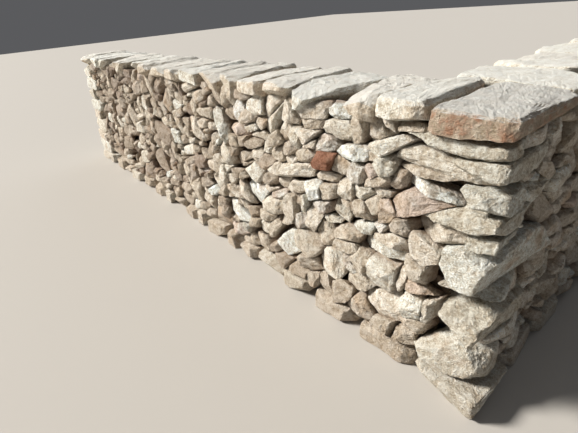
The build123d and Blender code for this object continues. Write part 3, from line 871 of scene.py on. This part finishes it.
def add_joints(cells, owner, us, vs, first):
    """Gives the cells on both sides of each joint its line, fitted to the grid's steps there."""
    sides = []
    for step_v, step_u in ((0, 1), (1, 0)):
        one = owner[:owner.shape[0] - step_v, :owner.shape[1] - step_u]
        two = owner[step_v:, step_u:]
        rows, columns = np.nonzero((one != two) & (np.maximum(one, two) >= first))
        pair = np.stack((one[rows, columns], two[rows, columns]), 1)
        sides.append(np.column_stack((pair.min(1), pair.max(1),
                                      us[columns] + step_u * grid_pitch / 2,
                                      vs[rows] + step_v * grid_pitch / 2)))
    sides = np.vstack(sides)
    pairs, which = np.unique(sides[:, :2], axis=0, return_inverse=True)
    which = which.reshape(-1)
    tally = np.bincount(which)
    mean_u = np.bincount(which, sides[:, 2]) / tally
    mean_v = np.bincount(which, sides[:, 3]) / tally
    du, dv = sides[:, 2] - mean_u[which], sides[:, 3] - mean_v[which]
    uu, vv = np.bincount(which, du * du), np.bincount(which, dv * dv)
    uv = np.bincount(which, du * dv)
    turn = 0.5 * np.arctan2(2 * uv, uu - vv)
    for k, (one, two) in enumerate(pairs.astype(int)):
        if tally[k] < fewest_joint_steps:
            continue
        normal = np.array((-math.sin(turn[k]), math.cos(turn[k])))
        point = np.array((mean_u[k], mean_v[k]))
        high_cell = cells[two - first]
        if np.dot(normal, (high_cell["u"], high_cell["v"]) - point) < 0:
            normal = -normal
        joint = {"point": point, "length": tally[k], "rubble": one >= first, "pair": k}
        high_cell["joints"].append({**joint, "normal": -normal})
        if one >= first:
            cells[one - first]["joints"].append({**joint, "normal": normal})


def cut_on_face(face, centre, axes, normal, point):
    """A flat cut whose normal and point are given along, up and out of a face."""
    origin, basis = face
    normal = basis @ (np.array(normal) / np.linalg.norm(normal))
    return cut_through(axes, centre, normal, origin + basis @ point, rubble_least_cut_reach)


def rubble_stones(rng, cells, face):
    """Turns the cells of a face into stones with broken facets on their fronts."""
    origin, basis = face
    gaps, leans = {}, {}
    stones = []
    for cell in cells:
        front = rng.uniform(*rubble_proud)
        deep = min(rubble_depth, rubble_depth_to_length * cell["a"])
        flat = np.array((cell["u"], cell["v"]))
        turn = cell["turn"]
        local = np.array(((math.cos(turn), -math.sin(turn), 0),
                          (math.sin(turn), math.cos(turn), 0), (0, 0, 1)))
        local = local @ np.diag((cell["a"], cell["b"], deep / 2))
        centre = origin + basis @ np.array((*flat, front - deep / 2))
        axes = basis @ local
        planes = []
        for joint in sorted(cell["joints"], key=lambda j: -j["length"])[:most_joints]:
            gap = gaps.setdefault(joint["pair"], rng.uniform(*rubble_gap))
            lean = leans.setdefault(joint["pair"], rng.normal(0.0, joint_lean))
            sign = 1.0 if joint["normal"][1] + 0.01 * joint["normal"][0] > 0 else -1.0
            across = np.array((*joint["normal"], 0.0))
            point = np.array((*joint["point"], -joint_inset)) - across * gap / 2
            planes.append((across + (0.0, 0.0, lean * sign if joint["rubble"] else 0.0), point))
        start = rng.uniform(0.0, 2 * math.pi)
        facets = rng.integers(fewest_facets, len(front_facets) + 1)
        for turned, slopes, spots in front_facets[:facets]:
            way = start + turned + rng.normal(0.0, facet_wander)
            push = local[:2, :2] @ np.array((math.cos(way), math.sin(way)))
            side = push / np.linalg.norm(push)
            spot = rng.uniform(*spots)
            planes.append(((*(side * rng.uniform(*slopes)), 1.0),
                           np.array((*(flat + push * spot), front))))
        planes.append(((0.0, 0.0, -1.0), np.array((*flat, front - deep))))
        cuts = [cut_on_face(face, centre, axes, normal, point) for normal, point in planes]
        cuts = knocked_corners(rng, cuts, *rubble_chips, np.array((0.0, 0.0, 1.0)))
        stones.append(stone(centre, axes, cuts, rng, cell["tone"]))
    return stones


def stint_spans(stem, count, axis, sign):
    """Where each stint of a face starts and ends along it, the outer ones a little wider."""
    spans = []
    for number in range(1, count + 1):
        low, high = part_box(f"{stem}_{number}")
        spans.append(sorted((sign * low[axis], sign * high[axis])))
    lowest, highest = min(s[0] for s in spans), max(s[1] for s in spans)
    return [(start - stint_slack * (start == lowest), end + stint_slack * (end == highest))
            for start, end in spans]


def dress_face(stem, face, u_span, laid, spans, rounding, known=()):
    """Fits one face with rubble and shares the stones out among its stints."""
    rng = np.random.default_rng(face_seeds[stem])
    cells = lay_rubble(rng, face, u_span, (footing_top, rubble_top), laid, known)
    stones = rubble_stones(rng, cells, face)
    for number, ((start, end), steps) in enumerate(zip(spans, rounding), 1):
        mine = [s for s, c in zip(stones, cells) if start <= c["u"] < end]
        piece = shape_stones(f"{stem}_rubble_{number}", mine, rubble_finish, steps,
                             **rubble_roughness)
        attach(piece, "root")
        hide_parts(f"{stem}_{number}")


rubble_finish = limestone("rubble_limestone", joints=True)
footing_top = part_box("footing_long_outer")[1].z
rubble_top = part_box("long_coping_1")[0].z + rubble_over_cope_bed
long_end = -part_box("long_head_long_stones")[0].x
return_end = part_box("return_head_long_stones")[1].y
inner_corner = base_thickness - inner_batter
long_inner = face_frame((0, base_thickness, 0), (-1, 0, 0), (0, -inner_batter, wall_height))
return_outer = face_frame((0, 0, 0), (0, 1, 0), (-outer_batter, 0, wall_height))
return_inner = face_frame((-base_thickness, 0, 0), (0, -1, 0), (inner_batter, 0, wall_height))

corner_stones.append(box_stone("corner_capstone"))

dress_face("long_outer_face", long_outer,
           (-long_end, -quoin_least_leg), corner_stones + head_stones["long"],
           stint_spans("long_outer_face", 4, 0, 1), (3, 2, 2, 2), stones_by_corner)
dress_face("return_outer_face", return_outer,
           (quoin_least_leg, return_end), corner_stones + head_stones["return"],
           stint_spans("return_outer_face", 2, 1, 1), (2, 2))
dress_face("long_inner_face", long_inner,
           (inner_corner, long_end), head_stones["long"],
           stint_spans("long_inner_face", 4, 0, -1), (1, 1, 1, 1))
dress_face("return_inner_face", return_inner,
           (-return_end, -inner_corner), head_stones["return"],
           stint_spans("return_inner_face", 2, 1, -1), (1, 1))


# Coping slabs and the corner capstone: flat slabs laid across the top of both faces, with
# their tops whitened by dust and slurry and their edges left rough. Iron in the stone has
# stained the broken edge of the capstone.
coping_finish = limestone("coping_limestone", dust=0.8, brightness=0.90, depth=0.022)
capstone_finish = limestone("capstone_limestone", dust=0.95, brightness=0.85, rust=0.85,
                            depth=0.034)
capstone_tone = 0.52
capstone_chips = (4, 0.93, 0.98)
cope_seed = 44
cope_tones = (0.45, 0.78)
cope_chips = (7, 0.86, 0.98)
cope_sharpness = (0.45, 0.70)
cope_roughness = {"lump": (0.10, 0.015), "grain": (0.024, 0.006)}
cope_front_thickness = (0.045, 0.095)
cope_swell = 0.016
cope_undercut_depth = 0.13
cope_undercut_skew = 0.06
least_undercut = 0.004
coping_nodes = sorted(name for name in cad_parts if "coping" in name)


def undercut(face, rng, solid):
    """A sloping break under a slab's front edge, which leaves the edge thinner."""
    origin, basis = face
    low, high = solid.reshape(-1, 3).min(0), solid.reshape(-1, 3).max(0)
    front = ((solid.reshape(-1, 3) - origin) @ basis)[:, 2].max()
    edge = np.array((*((np.append((low + high)[:2] / 2, low[2]) - origin) @ basis)[:2], front))
    edge[1] += high[2] - low[2] - rng.uniform(*cope_front_thickness)
    rise = max(edge[1] - ((low - origin) @ basis)[1], least_undercut)
    normal = np.array((rng.normal(0.0, cope_undercut_skew), -cope_undercut_depth, rise))
    return basis @ (normal / np.linalg.norm(normal)), origin + basis @ edge


rng = np.random.default_rng(cope_seed)
for node in coping_nodes:
    face = long_outer if node.startswith("long") else return_outer
    stones = []
    for solid in solids_of(node):
        lost = [undercut(face, rng, solid)]
        tone, sharpness = rng.uniform(*cope_tones), rng.uniform(*cope_sharpness)
        stones.append(stone_of_solid(solid, rng, cope_chips, tone, sharpness, lost, cope_swell))
    piece = shape_stones(node + "_slabs", stones, coping_finish, steps=3, **cope_roughness)
    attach(piece, "root")
    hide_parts(node)

capstone_stones = []
for solid in solids_of("corner_capstone"):
    # The first draw is the tone that a cope would get; the capstone has its own.
    _, sharpness = rng.uniform(*cope_tones), rng.uniform(*cope_sharpness)
    capstone_stones.append(stone_of_solid(solid, rng, capstone_chips, capstone_tone, sharpness))
capstone = shape_stones("corner_capstone_slabs", capstone_stones, capstone_finish, steps=4,
                        **cope_roughness)
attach(capstone, "root")
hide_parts("corner_capstone")
